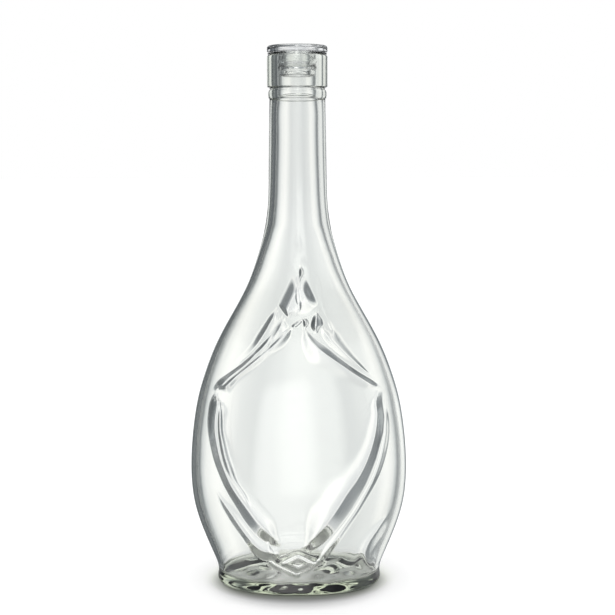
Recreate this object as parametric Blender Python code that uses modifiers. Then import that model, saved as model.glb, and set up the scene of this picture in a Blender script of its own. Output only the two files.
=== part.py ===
"""Preserving bottle with a stopper, in metres, +Z up.

A moulded glass bottle: an oval belly on a waisted foot, a long round neck, a bead
and a thick band at the mouth, with draped ribbon relief on the front and a plain back.
A hollow glass stopper with a soft seal ring closes the mouth and lifts out.

The origin is the middle of the foot, on the surface that the bottle stands on.
X runs across the wide faces, and the relief faces -Y (front).
"""

import math

import bmesh
import bpy
import numpy as np

# Running clearance between pieces that meet, and how far cutters run past the glass
CLEARANCE = 0.0003
OVERRUN = 0.004

# Glass as a whole: heights are above the standing surface
LIP_HEIGHT = 0.2536
BELLY_HEIGHT = 0.056
WAIST_HEIGHT = 0.0050
NECK_START_HEIGHT = 0.188
BELLY_HALF_WIDTH = 0.0526
NECK_RADIUS = 0.0131
BELLY_DEPTH_SHARE = 0.60
FOOT_DEPTH_SHARE = 0.66
BELLY_SQUARENESS = 2.3

# Mouth: band, groove under it, bead under the groove, and the body's end under that
BAND_RADIUS = 0.0141
BAND_HEIGHT = 0.0147
BAND_EDGE = 0.0005
GROOVE_RADIUS = 0.0129
GROOVE_HEIGHT = 0.0011
BEAD_RADIUS = 0.0137
BEAD_HEIGHT = 0.0041
BODY_HEIGHT = LIP_HEIGHT - BAND_HEIGHT - GROOVE_HEIGHT - BEAD_HEIGHT

# Side outline, from foot to belly as shares of BELLY_HEIGHT, and from there to the bead
# as shares of what is left of BODY_HEIGHT, each with its share of the way from the
# neck's radius to the belly's half width
LOWER_OUTLINE_SHARES = (
    (0.000, 0.699),
    (WAIST_HEIGHT / BELLY_HEIGHT, 0.679),
    (0.255, 0.743),
    (0.477, 0.867),
    (0.696, 0.960),
    (1.000, 1.000),
)
UPPER_OUTLINE_SHARES = (
    (0.076, 0.985),
    (0.144, 0.949),
    (0.211, 0.891),
    (0.278, 0.798),
    (0.344, 0.680),
    (0.410, 0.524),
    (0.460, 0.397),
    (0.509, 0.284),
    (0.574, 0.174),
    (0.639, 0.089),
    (0.703, 0.038),
    (0.788, 0.018),
    (1.000, 0.000),
)

# Inside of the glass
BORE_RADIUS = 0.0094
BODY_WALL = 0.0030
FLOOR_THICKNESS = 0.0075
FLOOR_CORNER = 0.010
MOUTH_CHAMFER = 0.0006

# Foot: rounded heel, flat bearing ring and the pushed-up middle
HEEL_RADIUS = 0.0025
BEARING_RING_WIDTH = 0.0050
PUSH_UP_HEIGHT = 0.0030

# Stopper
HEAD_THICKNESS = 0.0030
HEAD_EDGE = 0.0010
SHANK_RADIUS = 0.0076
SHANK_LENGTH = 0.0110
SHANK_WALL = 0.0016
SHANK_FOOT_HEIGHT = 0.0028
SHANK_FOOT_RISE = 0.0007

# Seal ring
FLANGE_THICKNESS = 0.0008
FLANGE_INSET = 0.0002
SLEEVE_WALL = 0.0008
LIP_RING_HEIGHT = 0.0014

# Relief: how far it stays from the foot, from the bead and from the belly's sides
RELIEF_BASE = 0.0124
RELIEF_TOP_CLEAR = 0.0783
RELIEF_SIDE_CLEAR = 0.0117
RELIEF_HEIGHT = BODY_HEIGHT - RELIEF_TOP_CLEAR - RELIEF_BASE
RELIEF_HALF_WIDTH = BELLY_HALF_WIDTH - RELIEF_SIDE_CLEAR

# Routes of the ridges: share of RELIEF_HALF_WIDTH across, share of RELIEF_HEIGHT up,
# and share of the ridge's full width there
STRAP_ROUTE_SHARES = (
    (0.248, 0.900, 0.80),
    (0.153, 0.855, 1.00),
    (0.077, 0.818, 0.90),
)
SHOULDER_ROUTE_SHARES = (
    (0.087, 0.820, 0.60),
    (0.163, 0.792, 1.00),
    (0.298, 0.756, 1.00),
    (0.526, 0.706, 0.90),
    (0.739, 0.657, 0.80),
    (0.942, 0.611, 0.50),
)
SIDE_ROUTE_SHARES = (
    (0.963, 0.588, 0.40),
    (0.989, 0.560, 0.75),
    (1.001, 0.511, 0.80),
    (0.991, 0.430, 0.85),
    (0.934, 0.343, 0.92),
    (0.811, 0.256, 1.00),
    (0.631, 0.179, 1.05),
    (0.439, 0.110, 1.10),
    (0.240, 0.045, 0.70),
)
RIM_ROUTE_SHARES = (
    (0.246, 0.889, 0.60),
    (0.151, 0.938, 1.00),
    (0.072, 0.979, 1.00),
    (-0.010, 1.005, 0.60),
)
PLEAT_ROUTE_SHARES = (
    (0.254, 0.878, 0.50),
    (0.409, 0.810, 1.00),
    (0.542, 0.752, 0.90),
    (0.726, 0.674, 0.40),
)
ARCH_ROUTE_SHARES = (
    (-0.079, 0.822, 0.80),
    (0.000, 0.839, 1.00),
    (0.079, 0.822, 0.80),
)
KNOT_ROUTE_SHARES = (
    (-0.245, 0.046, 0.80),
    (-0.123, 0.014, 1.00),
    (0.000, 0.000, 1.00),
    (0.123, 0.014, 1.00),
    (0.245, 0.046, 0.80),
)

# Width of each ridge at its foot, and how far it stands out
STRAP_WIDTH = 0.0022
STRAP_RISE = 0.0008
SHOULDER_WIDTH = 0.0032
SHOULDER_RISE = 0.0010
SIDE_WIDTH = 0.0046
SIDE_RISE = 0.0013
RIM_WIDTH = 0.0024
RIM_RISE = 0.0006
PLEAT_WIDTH = 0.0038
PLEAT_RISE = 0.0007
ARCH_WIDTH = 0.0018
ARCH_RISE = 0.0006
KNOT_WIDTH = 0.0026
KNOT_RISE = 0.0008

# Ridges across the middle, and ridges that stand on both sides of it
MIDDLE_RIDGES = (
    ("arch", ARCH_ROUTE_SHARES, ARCH_WIDTH, ARCH_RISE),
    ("knot", KNOT_ROUTE_SHARES, KNOT_WIDTH, KNOT_RISE),
)
SIDE_RIDGES = (
    ("strap", STRAP_ROUTE_SHARES, STRAP_WIDTH, STRAP_RISE),
    ("shoulder", SHOULDER_ROUTE_SHARES, SHOULDER_WIDTH, SHOULDER_RISE),
    ("side", SIDE_ROUTE_SHARES, SIDE_WIDTH, SIDE_RISE),
    ("rim", RIM_ROUTE_SHARES, RIM_WIDTH, RIM_RISE),
    ("pleat", PLEAT_ROUTE_SHARES, PLEAT_WIDTH, PLEAT_RISE),
)

# Diamond recess above the waist, the leaf in it, and the lozenge in the knot:
# shares of RELIEF_HEIGHT from low to high, and of RELIEF_HALF_WIDTH at the widest
RECESS_SPAN_SHARES = (0.830, 0.998)
RECESS_WIDE_SHARE = 0.228
RECESS_DEPTH = 0.0009
LEAF_SPAN_SHARES = (0.855, 0.985)
LEAF_WIDE_SHARE = 0.120
LEAF_RISE = 0.0015
LOZENGE_SPAN_SHARES = (0.010, 0.076)
LOZENGE_WIDE_SHARE = 0.180
LOZENGE_RISE = 0.0012
PAD_SINK = 0.0012
PAD_EDGE_SINK = 0.0003
PAD_TIP_SHARE = 0.06

# Facets round the glass, round the cavity, round the stopper, and along curves
GLASS_COLUMNS = 64
CAVITY_COLUMNS = 36
TURNED_STEPS = 36
BODY_ROWS = 32
CAVITY_ROWS = 20
CORNER_STEPS = 3
PAD_ROWS = 8
PAD_COLUMNS = 7
RIDGE_BEVEL_RESOLUTION = 3
MERGE_DISTANCE = 0.00001

# Share of BODY_HEIGHT over which a slope of the surface is measured
SLOPE_STEP_SHARE = 0.0001


def smoothstep(value):
    """Ease from 0 to 1 with no slope at either end."""
    t = np.clip(value, 0.0, 1.0)
    return t * t * (3.0 - 2.0 * t)


def spline_slopes(knots, values):
    """Slopes at the knots of the natural cubic spline through the values."""
    steps = np.diff(knots)
    rises = np.diff(values) / steps
    count = len(knots)
    matrix = np.zeros((count, count))
    right = np.zeros(count)
    matrix[0, 0], matrix[0, 1], right[0] = 2.0, 1.0, 3.0 * rises[0]
    matrix[-1, -1], matrix[-1, -2], right[-1] = 2.0, 1.0, 3.0 * rises[-1]
    for i in range(1, count - 1):
        matrix[i, i - 1] = steps[i]
        matrix[i, i] = 2.0 * (steps[i - 1] + steps[i])
        matrix[i, i + 1] = steps[i - 1]
        right[i] = 3.0 * (steps[i] * rises[i - 1] + steps[i - 1] * rises[i])
    return np.linalg.solve(matrix, right)


OUTLINE_HEIGHTS = np.array(
    [share * BELLY_HEIGHT for share, _ in LOWER_OUTLINE_SHARES]
    + [BELLY_HEIGHT + share * (BODY_HEIGHT - BELLY_HEIGHT)
       for share, _ in UPPER_OUTLINE_SHARES])
OUTLINE_WIDTHS = np.array(
    [NECK_RADIUS + share * (BELLY_HALF_WIDTH - NECK_RADIUS)
     for _, share in LOWER_OUTLINE_SHARES + UPPER_OUTLINE_SHARES])
OUTLINE_SLOPES = spline_slopes(OUTLINE_HEIGHTS, OUTLINE_WIDTHS)


def half_width(z):
    """Half width of the glass body from the foot to the bead, by the cubic spline."""
    last = len(OUTLINE_HEIGHTS) - 2
    i = np.clip(np.searchsorted(OUTLINE_HEIGHTS, z) - 1, 0, last)
    step = OUTLINE_HEIGHTS[i + 1] - OUTLINE_HEIGHTS[i]
    t = np.clip((z - OUTLINE_HEIGHTS[i]) / step, 0.0, 1.0)
    low, high = OUTLINE_WIDTHS[i], OUTLINE_WIDTHS[i + 1]
    low_slope, high_slope = OUTLINE_SLOPES[i] * step, OUTLINE_SLOPES[i + 1] * step
    return (low * (2 * t**3 - 3 * t**2 + 1) + high * (3 * t**2 - 2 * t**3)
            + low_slope * (t**3 - 2 * t**2 + t) + high_slope * (t**3 - t**2))


def ovalness(z):
    """One in the belly, falling smoothly to none where the neck becomes round."""
    return 1.0 - smoothstep((z - BELLY_HEIGHT) / (NECK_START_HEIGHT - BELLY_HEIGHT))


def depth_share(z):
    """Half depth over half width: the foot, the flatter belly, then the round neck."""
    low = smoothstep(z / BELLY_HEIGHT)
    lower = FOOT_DEPTH_SHARE + (BELLY_DEPTH_SHARE - FOOT_DEPTH_SHARE) * low
    return 1.0 - (1.0 - lower) * ovalness(z)


def half_depth(z):
    return half_width(z) * depth_share(z)


def squareness(z):
    """Exponent of the superellipse section: 2 is a true ellipse or circle."""
    return 2.0 + (BELLY_SQUARENESS - 2.0) * ovalness(z)


def front_depth(x, z):
    """How far the body's surface stands in front of its axis plane at x and z."""
    power = squareness(z)
    inside = np.clip(1.0 - np.abs(x / half_width(z)) ** power, 0.0, 1.0)
    return half_depth(z) * inside ** (1.0 / power)


def front_point(x, z, rise):
    """Point over the front surface by rise, measured square to the surface."""
    step = BODY_HEIGHT * SLOPE_STEP_SHARE
    slope_x = (front_depth(x + step, z) - front_depth(x - step, z)) / (2.0 * step)
    slope_z = (front_depth(x, z + step) - front_depth(x, z - step)) / (2.0 * step)
    length = np.sqrt(slope_x ** 2 + 1.0 + slope_z ** 2)
    return np.stack([x - rise * slope_x / length,
                     -front_depth(x, z) - rise / length,
                     z - rise * slope_z / length], axis=-1)


def make_collection(name, parent):
    collection = bpy.data.collections.new(name)
    parent.children.link(collection)
    return collection


def make_material(name, colour, roughness, transmission, ior):
    material = bpy.data.materials.new(name)
    material.use_nodes = True
    shader = material.node_tree.nodes["Principled BSDF"]
    shader.inputs["Base Color"].default_value = (*colour, 1.0)
    shader.inputs["Roughness"].default_value = roughness
    shader.inputs["Metallic"].default_value = 0.0
    shader.inputs["Transmission Weight"].default_value = transmission
    shader.inputs["IOR"].default_value = ior
    return material


def make_object(name, mesh, collection):
    piece = bpy.data.objects.new(name, mesh)
    collection.objects.link(piece)
    return piece


def mark_as_tool(piece):
    """Show a cutter or a joined shape as wires only."""
    piece.hide_render = True
    piece.display_type = "WIRE"


def mesh_from(name, vertices, faces):
    mesh = bpy.data.meshes.new(name)
    mesh.from_pydata([tuple(vertex) for vertex in vertices], [], faces)
    mesh.validate()
    return mesh


def section_ring(width, depth, power, z, columns):
    """Points round a superellipse, counted anticlockwise seen from above."""
    angle = np.arange(columns) * math.tau / columns
    cosine, sine = np.cos(angle), np.sin(angle)
    x = width * np.sign(cosine) * np.abs(cosine) ** (2.0 / power)
    y = depth * np.sign(sine) * np.abs(sine) ** (2.0 / power)
    return np.stack([x, y, np.full(columns, z)], axis=-1)


def loft_mesh(name, rings, columns):
    """Closed skin over sections from bottom to top: width, depth, squareness, z."""
    vertices = [point for ring in rings for point in section_ring(*ring, columns)]
    faces = []
    for row in range(len(rings) - 1):
        for column in range(columns):
            after = (column + 1) % columns
            low, high = row * columns, (row + 1) * columns
            faces.append((low + column, low + after, high + after, high + column))
    for row, turned in ((0, True), (len(rings) - 1, False)):
        middle = len(vertices)
        vertices.append((0.0, 0.0, rings[row][3]))
        for column in range(columns):
            first = row * columns + column
            second = row * columns + (column + 1) % columns
            faces.append((middle, second, first) if turned else (middle, first, second))
    mesh = mesh_from(name, vertices, faces)
    mesh.shade_smooth()
    mesh.set_sharp_from_angle(angle=math.radians(35))
    return mesh


def foot_rings():
    """Pushed-up middle, flat bearing ring and rounded heel, from the centre outwards."""
    width, depth, power = half_width(0.0), half_depth(0.0), squareness(0.0)
    hollow = HEEL_RADIUS + BEARING_RING_WIDTH
    rings = []
    for share in (0.25, 0.55, 0.80, 1.0):
        rise = PUSH_UP_HEIGHT * (1.0 - share ** 2)
        rings.append(((width - hollow) * share, (depth - hollow) * share, power, rise))
    for step in range(CORNER_STEPS + 1):
        angle = step / CORNER_STEPS * math.pi / 2
        inset = HEEL_RADIUS * (1.0 - math.sin(angle))
        z = HEEL_RADIUS * (1.0 - math.cos(angle))
        rings.append((half_width(z) - inset, half_depth(z) - inset, power, z))
    return rings


def body_rings():
    """Sections of the belly, shoulder and neck, closer together where they turn."""
    rings = []
    for row in range(BODY_ROWS + 1):
        share = row / BODY_ROWS
        z = WAIST_HEIGHT + (BODY_HEIGHT - WAIST_HEIGHT) * (0.8 * share + 0.2 * share ** 3)
        rings.append((half_width(z), half_depth(z), squareness(z), z))
    return rings


def mouth_rings():
    """Bead, groove and band, turned round."""
    band_base = LIP_HEIGHT - BAND_HEIGHT
    bead_top = band_base - GROOVE_HEIGHT
    bead_rise = BEAD_RADIUS - NECK_RADIUS
    bead_half = (bead_top - BODY_HEIGHT) / 2.0
    outline = []
    for step in range(1, 2 * CORNER_STEPS):
        angle = step / (2 * CORNER_STEPS) * math.pi
        outline.append((NECK_RADIUS + bead_rise * math.sin(angle),
                        BODY_HEIGHT + bead_half * (1.0 - math.cos(angle))))
    outline += [
        (GROOVE_RADIUS, bead_top),
        (GROOVE_RADIUS, band_base - BAND_EDGE),
        (BAND_RADIUS - BAND_EDGE, band_base),
        (BAND_RADIUS, band_base + BAND_EDGE),
        (BAND_RADIUS, LIP_HEIGHT - BAND_EDGE),
        (BAND_RADIUS - BAND_EDGE, LIP_HEIGHT),
    ]
    return [(radius, radius, 2.0, z) for radius, z in outline]


def wall_thickness(z):
    """Wall measured level: thick round the bore, thinner in the body."""
    neck_wall = NECK_RADIUS - BORE_RADIUS
    return BODY_WALL + (neck_wall - BODY_WALL) * (1.0 - ovalness(z))


def cavity_rings():
    """Sections of the inside, from the floor's middle to past the lip."""
    top = BODY_HEIGHT
    rings = []
    floor_z = FLOOR_THICKNESS + FLOOR_CORNER
    wall = wall_thickness(floor_z)
    width, depth = half_width(floor_z) - wall, half_depth(floor_z) - wall
    power = squareness(floor_z)
    for step in range(1, 2 * CORNER_STEPS):
        angle = step / (2 * CORNER_STEPS) * math.pi / 2
        share = math.sin(angle)
        z = floor_z - FLOOR_CORNER * math.cos(angle)
        rings.append((width * share, depth * share, power, z))
    for row in range(CAVITY_ROWS + 1):
        z = floor_z + (top - floor_z) * row / CAVITY_ROWS
        step = BODY_HEIGHT * SLOPE_STEP_SHARE
        lean = (half_width(z + step) - half_width(z - step)) / (2.0 * step)
        wall = wall_thickness(z) * math.sqrt(1.0 + lean ** 2)
        inner = max(half_width(z) - wall, BORE_RADIUS)
        inner_depth = max(half_depth(z) - wall, BORE_RADIUS)
        rings.append((inner, inner_depth, squareness(z), z))
    outline = [
        (BORE_RADIUS, LIP_HEIGHT - MOUTH_CHAMFER),
        (BORE_RADIUS + MOUTH_CHAMFER, LIP_HEIGHT),
        (BORE_RADIUS + MOUTH_CHAMFER, LIP_HEIGHT + OVERRUN),
    ]
    return rings + [(radius, radius, 2.0, z) for radius, z in outline]


def relief_place(across_share, up_share):
    return (RELIEF_HALF_WIDTH * across_share, RELIEF_BASE + RELIEF_HEIGHT * up_share)


def smooth_route(route, per_step):
    """Denser route through the same places, a Catmull-Rom curve."""
    points = np.array(route)
    padded = np.vstack([2 * points[0] - points[1], points, 2 * points[-1] - points[-2]])
    out = []
    for i in range(1, len(padded) - 2):
        before, start, end, after = padded[i - 1:i + 3]
        for part in range(per_step):
            t = part / per_step
            out.append(0.5 * (2 * start + (end - before) * t
                              + (2 * before - 5 * start + 4 * end - after) * t ** 2
                              + (3 * start - before - 3 * end + after) * t ** 3))
    out.append(points[-1])
    return np.array(out)


def add_ridge(name, route, width, rise, side, collection):
    """Raised ridge: a round bar swept over the surface and sunk so far that it is as
    wide as width at its foot and stands out by rise. Side -1 mirrors it to the left."""
    radius = (width ** 2 / 4.0 + rise ** 2) / (2.0 * rise)
    curve = bpy.data.curves.new(name, "CURVE")
    curve.dimensions = "3D"
    curve.bevel_depth = radius
    curve.bevel_resolution = RIDGE_BEVEL_RESOLUTION
    curve.use_fill_caps = True
    places = smooth_route(route, 2)
    spline = curve.splines.new("POLY")
    spline.points.add(len(places) - 1)
    for point, (across, up, share) in zip(spline.points, places):
        x, z = relief_place(across * side, up)
        point.co = (*front_point(x, z, (rise - radius) * share), 1.0)
        point.radius = share
    guide = make_object(name, curve, collection)
    bpy.context.view_layer.update()
    graph = bpy.context.evaluated_depsgraph_get()
    mesh = bpy.data.meshes.new_from_object(guide.evaluated_get(graph))
    weld_and_face_out(mesh)
    ridge = make_object(name + "_solid", mesh, collection)
    ridge.matrix_world = guide.matrix_world
    bpy.data.objects.remove(guide)
    bpy.data.curves.remove(curve)
    mark_as_tool(ridge)
    return ridge


def weld_and_face_out(mesh):
    work = bmesh.new()
    work.from_mesh(mesh)
    bmesh.ops.remove_doubles(work, verts=work.verts, dist=MERGE_DISTANCE)
    bmesh.ops.recalc_face_normals(work, faces=work.faces)
    work.to_mesh(mesh)
    work.free()


def add_pad(name, span, wide_share, shape, top, bottom, collection):
    """Solid that follows the surface: between span's two heights, as wide as shape
    says, from bottom to top over the surface. All three take 0..1 up the span."""
    grid = []
    for row in range(PAD_ROWS + 1):
        up = row / PAD_ROWS
        z_share = span[0] + (span[1] - span[0]) * up
        reach = wide_share * (PAD_TIP_SHARE + (1.0 - PAD_TIP_SHARE) * shape(up))
        for column in range(PAD_COLUMNS + 1):
            across = 2.0 * column / PAD_COLUMNS - 1.0
            x, z = relief_place(reach * across, z_share)
            grid.append((x, z, top(across, up), bottom(across, up)))
    count = len(grid)
    vertices = [front_point(x, z, high) for x, z, high, _ in grid]
    vertices += [front_point(x, z, low) for x, z, _, low in grid]
    line = PAD_COLUMNS + 1
    faces = []
    for row in range(PAD_ROWS):
        for column in range(PAD_COLUMNS):
            a = row * line + column
            quad = (a, a + 1, a + 1 + line, a + line)
            faces.append(quad)
            faces.append(tuple(i + count for i in reversed(quad)))
    edge = [column for column in range(line)]
    edge += [row * line + PAD_COLUMNS for row in range(1, PAD_ROWS + 1)]
    edge += [PAD_ROWS * line + column for column in reversed(range(PAD_COLUMNS))]
    edge += [row * line for row in reversed(range(1, PAD_ROWS))]
    for first, second in zip(edge, edge[1:] + edge[:1]):
        faces.append((second, first, first + count, second + count))
    mesh = mesh_from(name, vertices, faces)
    weld_and_face_out(mesh)
    pad = make_object(name, mesh, collection)
    mark_as_tool(pad)
    return pad


def diamond(up):
    """Width of a lozenge that is widest a little below its middle."""
    widest = 0.42
    return up / widest if up < widest else (1.0 - up) / (1.0 - widest)


def lozenge(up):
    return 1.0 - abs(2.0 * up - 1.0)


def flame(up):
    """Width of a leaf: full and round low down, drawn out to a long tip."""
    return math.sin(math.pi * up ** 0.75) ** 1.2


def add_relief(joined, cut):
    """The draped ribbons, diamond and knot on the front."""
    leaf_edge = RECESS_DEPTH + PAD_EDGE_SINK
    add_pad("diamond_cut", RECESS_SPAN_SHARES, RECESS_WIDE_SHARE, diamond,
            lambda across, up: OVERRUN,
            lambda across, up: -RECESS_DEPTH, cut)
    add_pad("leaf", LEAF_SPAN_SHARES, LEAF_WIDE_SHARE, flame,
            lambda across, up: LEAF_RISE * (1.0 - across ** 2) - leaf_edge,
            lambda across, up: -RECESS_DEPTH - PAD_SINK, joined)
    add_pad("lozenge", LOZENGE_SPAN_SHARES, LOZENGE_WIDE_SHARE, lozenge,
            lambda across, up: LOZENGE_RISE * (1.0 - abs(across)) - PAD_EDGE_SINK,
            lambda across, up: -PAD_SINK, joined)
    for name, route, width, rise in MIDDLE_RIDGES:
        add_ridge(name, route, width, rise, 1.0, joined)
    for name, route, width, rise in SIDE_RIDGES:
        add_ridge(f"right_{name}", route, width, rise, 1.0, joined)
        add_ridge(f"left_{name}", route, width, rise, -1.0, joined)


def add_boolean(piece, name, operation, target):
    """Exact Boolean with one object or with every object of a collection."""
    modifier = piece.modifiers.new(name, "BOOLEAN")
    modifier.operation = operation
    modifier.solver = "EXACT"
    if isinstance(target, bpy.types.Collection):
        modifier.operand_type = "COLLECTION"
        modifier.collection = target
    else:
        modifier.object = target


def make_bottle(collection, tools):
    """Glass bottle: lofted outside, relief joined on, cavity cut out through the mouth."""
    joined = make_collection("relief_ridges", tools)
    cut = make_collection("relief_cuts", tools)
    add_relief(joined, cut)
    rings = foot_rings() + body_rings() + mouth_rings()
    bottle = make_object("bottle", loft_mesh("bottle", rings, GLASS_COLUMNS), collection)
    bottle.data.materials.append(
        make_material("clear_glass", (0.93, 0.96, 0.94), 0.02, 1.0, 1.52))
    cavity = make_object("cavity", loft_mesh("cavity", cavity_rings(), CAVITY_COLUMNS),
                         tools)
    mark_as_tool(cavity)
    add_boolean(bottle, "cut_diamonds", "DIFFERENCE", cut)
    add_boolean(bottle, "join_ridges", "UNION", joined)
    add_boolean(bottle, "cut_cavity", "DIFFERENCE", cavity)
    return bottle


def turned(name, outline, closed, collection, material, parent):
    """Piece turned about the stopper's axis from an outline of radius and height."""
    mesh = bpy.data.meshes.new(name)
    edges = [(i, i + 1) for i in range(len(outline) - 1)]
    if closed:
        edges.append((len(outline) - 1, 0))
    mesh.from_pydata([(radius, 0.0, z) for radius, z in outline], edges, [])
    piece = make_object(name, mesh, collection)
    screw = piece.modifiers.new("turned", "SCREW")
    screw.axis = "Z"
    screw.steps = TURNED_STEPS
    screw.render_steps = TURNED_STEPS
    screw.use_merge_vertices = True
    screw.merge_threshold = MERGE_DISTANCE
    screw.use_smooth_shade = True
    mesh.materials.append(material)
    piece.parent = parent
    return piece


def quarter_turn(radius, z, edge):
    """Rounded outer top corner, from the flat top down to the side."""
    points = []
    for step in range(CORNER_STEPS + 1):
        angle = step / CORNER_STEPS * math.pi / 2
        points.append((radius - edge * (1.0 - math.sin(angle)),
                       z - edge * (1.0 - math.cos(angle))))
    return points


def make_stopper(collection, carrier):
    """Hollow stopper: a disc that covers the band, and a shank with a wider foot."""
    under_head = 2 * CLEARANCE + FLANGE_THICKNESS
    top = under_head + HEAD_THICKNESS
    tip = under_head - SHANK_LENGTH
    foot_radius = SHANK_RADIUS + SHANK_FOOT_RISE
    hollow_radius = SHANK_RADIUS - SHANK_WALL
    outline = [(0.0, top)]
    outline += quarter_turn(BAND_RADIUS, top, HEAD_EDGE)
    outline += [
        (BAND_RADIUS, under_head + HEAD_EDGE / 4.0),
        (BAND_RADIUS - HEAD_EDGE / 4.0, under_head),
        (SHANK_RADIUS, under_head),
        (SHANK_RADIUS, tip + SHANK_FOOT_HEIGHT),
        (foot_radius, tip + SHANK_FOOT_HEIGHT - SHANK_FOOT_RISE),
        (foot_radius, tip + SHANK_FOOT_RISE),
        (SHANK_RADIUS, tip),
        (hollow_radius, tip),
        (hollow_radius, under_head - SHANK_WALL / 2.0),
        (hollow_radius - SHANK_WALL / 2.0, under_head),
        (0.0, under_head),
    ]
    material = make_material("stopper_glass", (0.94, 0.96, 0.95), 0.03, 1.0, 1.50)
    return turned("stopper", outline, False, collection, material, carrier)


def make_seal_ring(collection, carrier):
    """Soft ring: a flange between lip and head, and a sleeve with two sealing lips."""
    flange_base = CLEARANCE
    flange_top = CLEARANCE + FLANGE_THICKNESS
    inner = SHANK_RADIUS + CLEARANCE
    outer = inner + SLEEVE_WALL
    lip = BORE_RADIUS - CLEARANCE
    flange_radius = BAND_RADIUS - FLANGE_INSET
    tip = flange_top + CLEARANCE - SHANK_LENGTH + SHANK_FOOT_HEIGHT + CLEARANCE
    middle = (flange_base + tip) / 2.0
    half_lip = LIP_RING_HEIGHT / 2.0
    outline = [
        (inner, flange_top),
        (flange_radius, flange_top),
        (flange_radius, flange_base),
        (outer, flange_base),
        (outer, middle + half_lip),
        (lip, middle),
        (outer, middle - half_lip),
        (outer, tip + LIP_RING_HEIGHT),
        (lip, tip + half_lip),
        (outer, tip),
        (inner, tip),
    ]
    material = make_material("seal_elastomer", (0.90, 0.92, 0.90), 0.25, 0.8, 1.45)
    return turned("seal_ring", outline, True, collection, material, carrier)


def clear_scene():
    for piece in list(bpy.data.objects):
        bpy.data.objects.remove(piece)


def main():
    clear_scene()
    root = bpy.context.scene.collection
    parts = make_collection("preserving_bottle", root)
    tools = make_collection("cutters", root)
    make_bottle(parts, tools)
    carrier = make_object("stopper_lift", None, parts)
    carrier.location = (0.0, 0.0, LIP_HEIGHT)
    make_stopper(parts, carrier)
    make_seal_ring(parts, carrier)


main()
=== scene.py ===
# %% [markdown]
# # A clear glass bottle with a draped ribbon relief
# The real object is one moulded piece of clear, faintly green glass: an oval belly on a
# waisted foot, a long round neck, and a banded mouth. A hollow stopper with a soft seal
# closes it. Glass has next to no colour, so nearly all that is seen of it is how its surfaces
# bend what stands behind. The work therefore goes into exact, smooth surfaces.
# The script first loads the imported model, which gives every piece its place.

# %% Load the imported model
import math

import bpy
import numpy as np
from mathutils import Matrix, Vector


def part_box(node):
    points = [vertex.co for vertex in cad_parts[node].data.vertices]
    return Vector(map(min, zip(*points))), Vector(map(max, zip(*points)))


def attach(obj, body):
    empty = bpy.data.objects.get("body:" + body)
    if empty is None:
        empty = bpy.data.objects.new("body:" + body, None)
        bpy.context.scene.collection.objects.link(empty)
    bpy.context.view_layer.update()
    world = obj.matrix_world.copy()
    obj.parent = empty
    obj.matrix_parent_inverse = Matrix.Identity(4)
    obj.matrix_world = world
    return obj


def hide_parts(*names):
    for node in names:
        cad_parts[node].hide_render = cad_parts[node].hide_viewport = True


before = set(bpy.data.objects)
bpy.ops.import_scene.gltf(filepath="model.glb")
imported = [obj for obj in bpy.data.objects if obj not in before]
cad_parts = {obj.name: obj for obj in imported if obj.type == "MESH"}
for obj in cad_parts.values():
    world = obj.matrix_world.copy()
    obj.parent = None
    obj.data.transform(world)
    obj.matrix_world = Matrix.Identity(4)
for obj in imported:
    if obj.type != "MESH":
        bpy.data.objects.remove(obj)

bpy.context.view_layer.update()
MM = 0.001

# %% [markdown]
# ## The side outline
# Seen from the front, the glass swells from a waist just over the foot to the belly, and
# then draws in to the neck in one long curve. A few measured half widths at known heights
# fix it. Between them it is a natural cubic spline, the curve that a thin steel strip
# takes when it is held at those points, so it has no kinks for the glass to magnify.

# %% Side outline as a spline
LIP_HEIGHT = 253.6 * MM
BODY_HEIGHT = 233.7 * MM
BELLY_HEIGHT = 56.0 * MM
NECK_START_HEIGHT = 188.0 * MM
NECK_RADIUS = 13.1 * MM

# Height, and the half width there, in millimetres.
OUTLINE = np.array([
    (0.0, 40.71), (5.0, 39.92), (14.3, 42.45), (26.7, 47.35), (39.0, 51.02), (56.0, 52.60),
    (69.5, 52.01), (81.6, 50.59), (93.5, 48.29), (105.4, 44.62), (117.1, 39.96),
    (128.9, 33.80), (137.7, 28.78), (146.4, 24.32), (158.0, 19.97), (169.5, 16.62),
    (180.9, 14.60), (196.1, 13.81), (233.7, 13.10),
]) * MM


def natural_spline(knots, values):
    """Returns the curve through the values whose second derivative is zero at both ends.
    The slopes m at the knots solve, for neighbouring steps a and b with rises p and q a
    unit: b m[i-1] + 2 (a + b) m[i] + a m[i+1] = 3 (b p + a q)."""
    steps = np.diff(knots)
    rises = np.diff(values) / steps
    count = len(knots)
    matrix = np.zeros((count, count))
    right = np.zeros(count)
    inner = np.arange(1, count - 1)
    matrix[inner, inner - 1] = steps[1:]
    matrix[inner, inner] = 2.0 * (steps[:-1] + steps[1:])
    matrix[inner, inner + 1] = steps[:-1]
    right[inner] = 3.0 * (steps[1:] * rises[:-1] + steps[:-1] * rises[1:])
    matrix[0, :2], matrix[-1, -2:] = (2.0, 1.0), (1.0, 2.0)
    right[0], right[-1] = 3.0 * rises[0], 3.0 * rises[-1]
    slopes = np.linalg.solve(matrix, right)

    def curve(at):
        i = np.clip(np.searchsorted(knots, at) - 1, 0, count - 2)
        t = np.clip((at - knots[i]) / steps[i], 0.0, 1.0)
        return (values[i] * (2 * t**3 - 3 * t**2 + 1) + values[i + 1] * (3 * t**2 - 2 * t**3)
                + steps[i] * (slopes[i] * (t**3 - 2 * t**2 + t) + slopes[i + 1] * (t**3 - t**2)))

    return curve


half_width = natural_spline(OUTLINE[:, 0], OUTLINE[:, 1])
bottle_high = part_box("bottle")[1]
print("belly half width in mm:", round(float(half_width(BELLY_HEIGHT)) / MM, 2),
      "in the model:", round(bottle_high.x / MM, 2))

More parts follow.
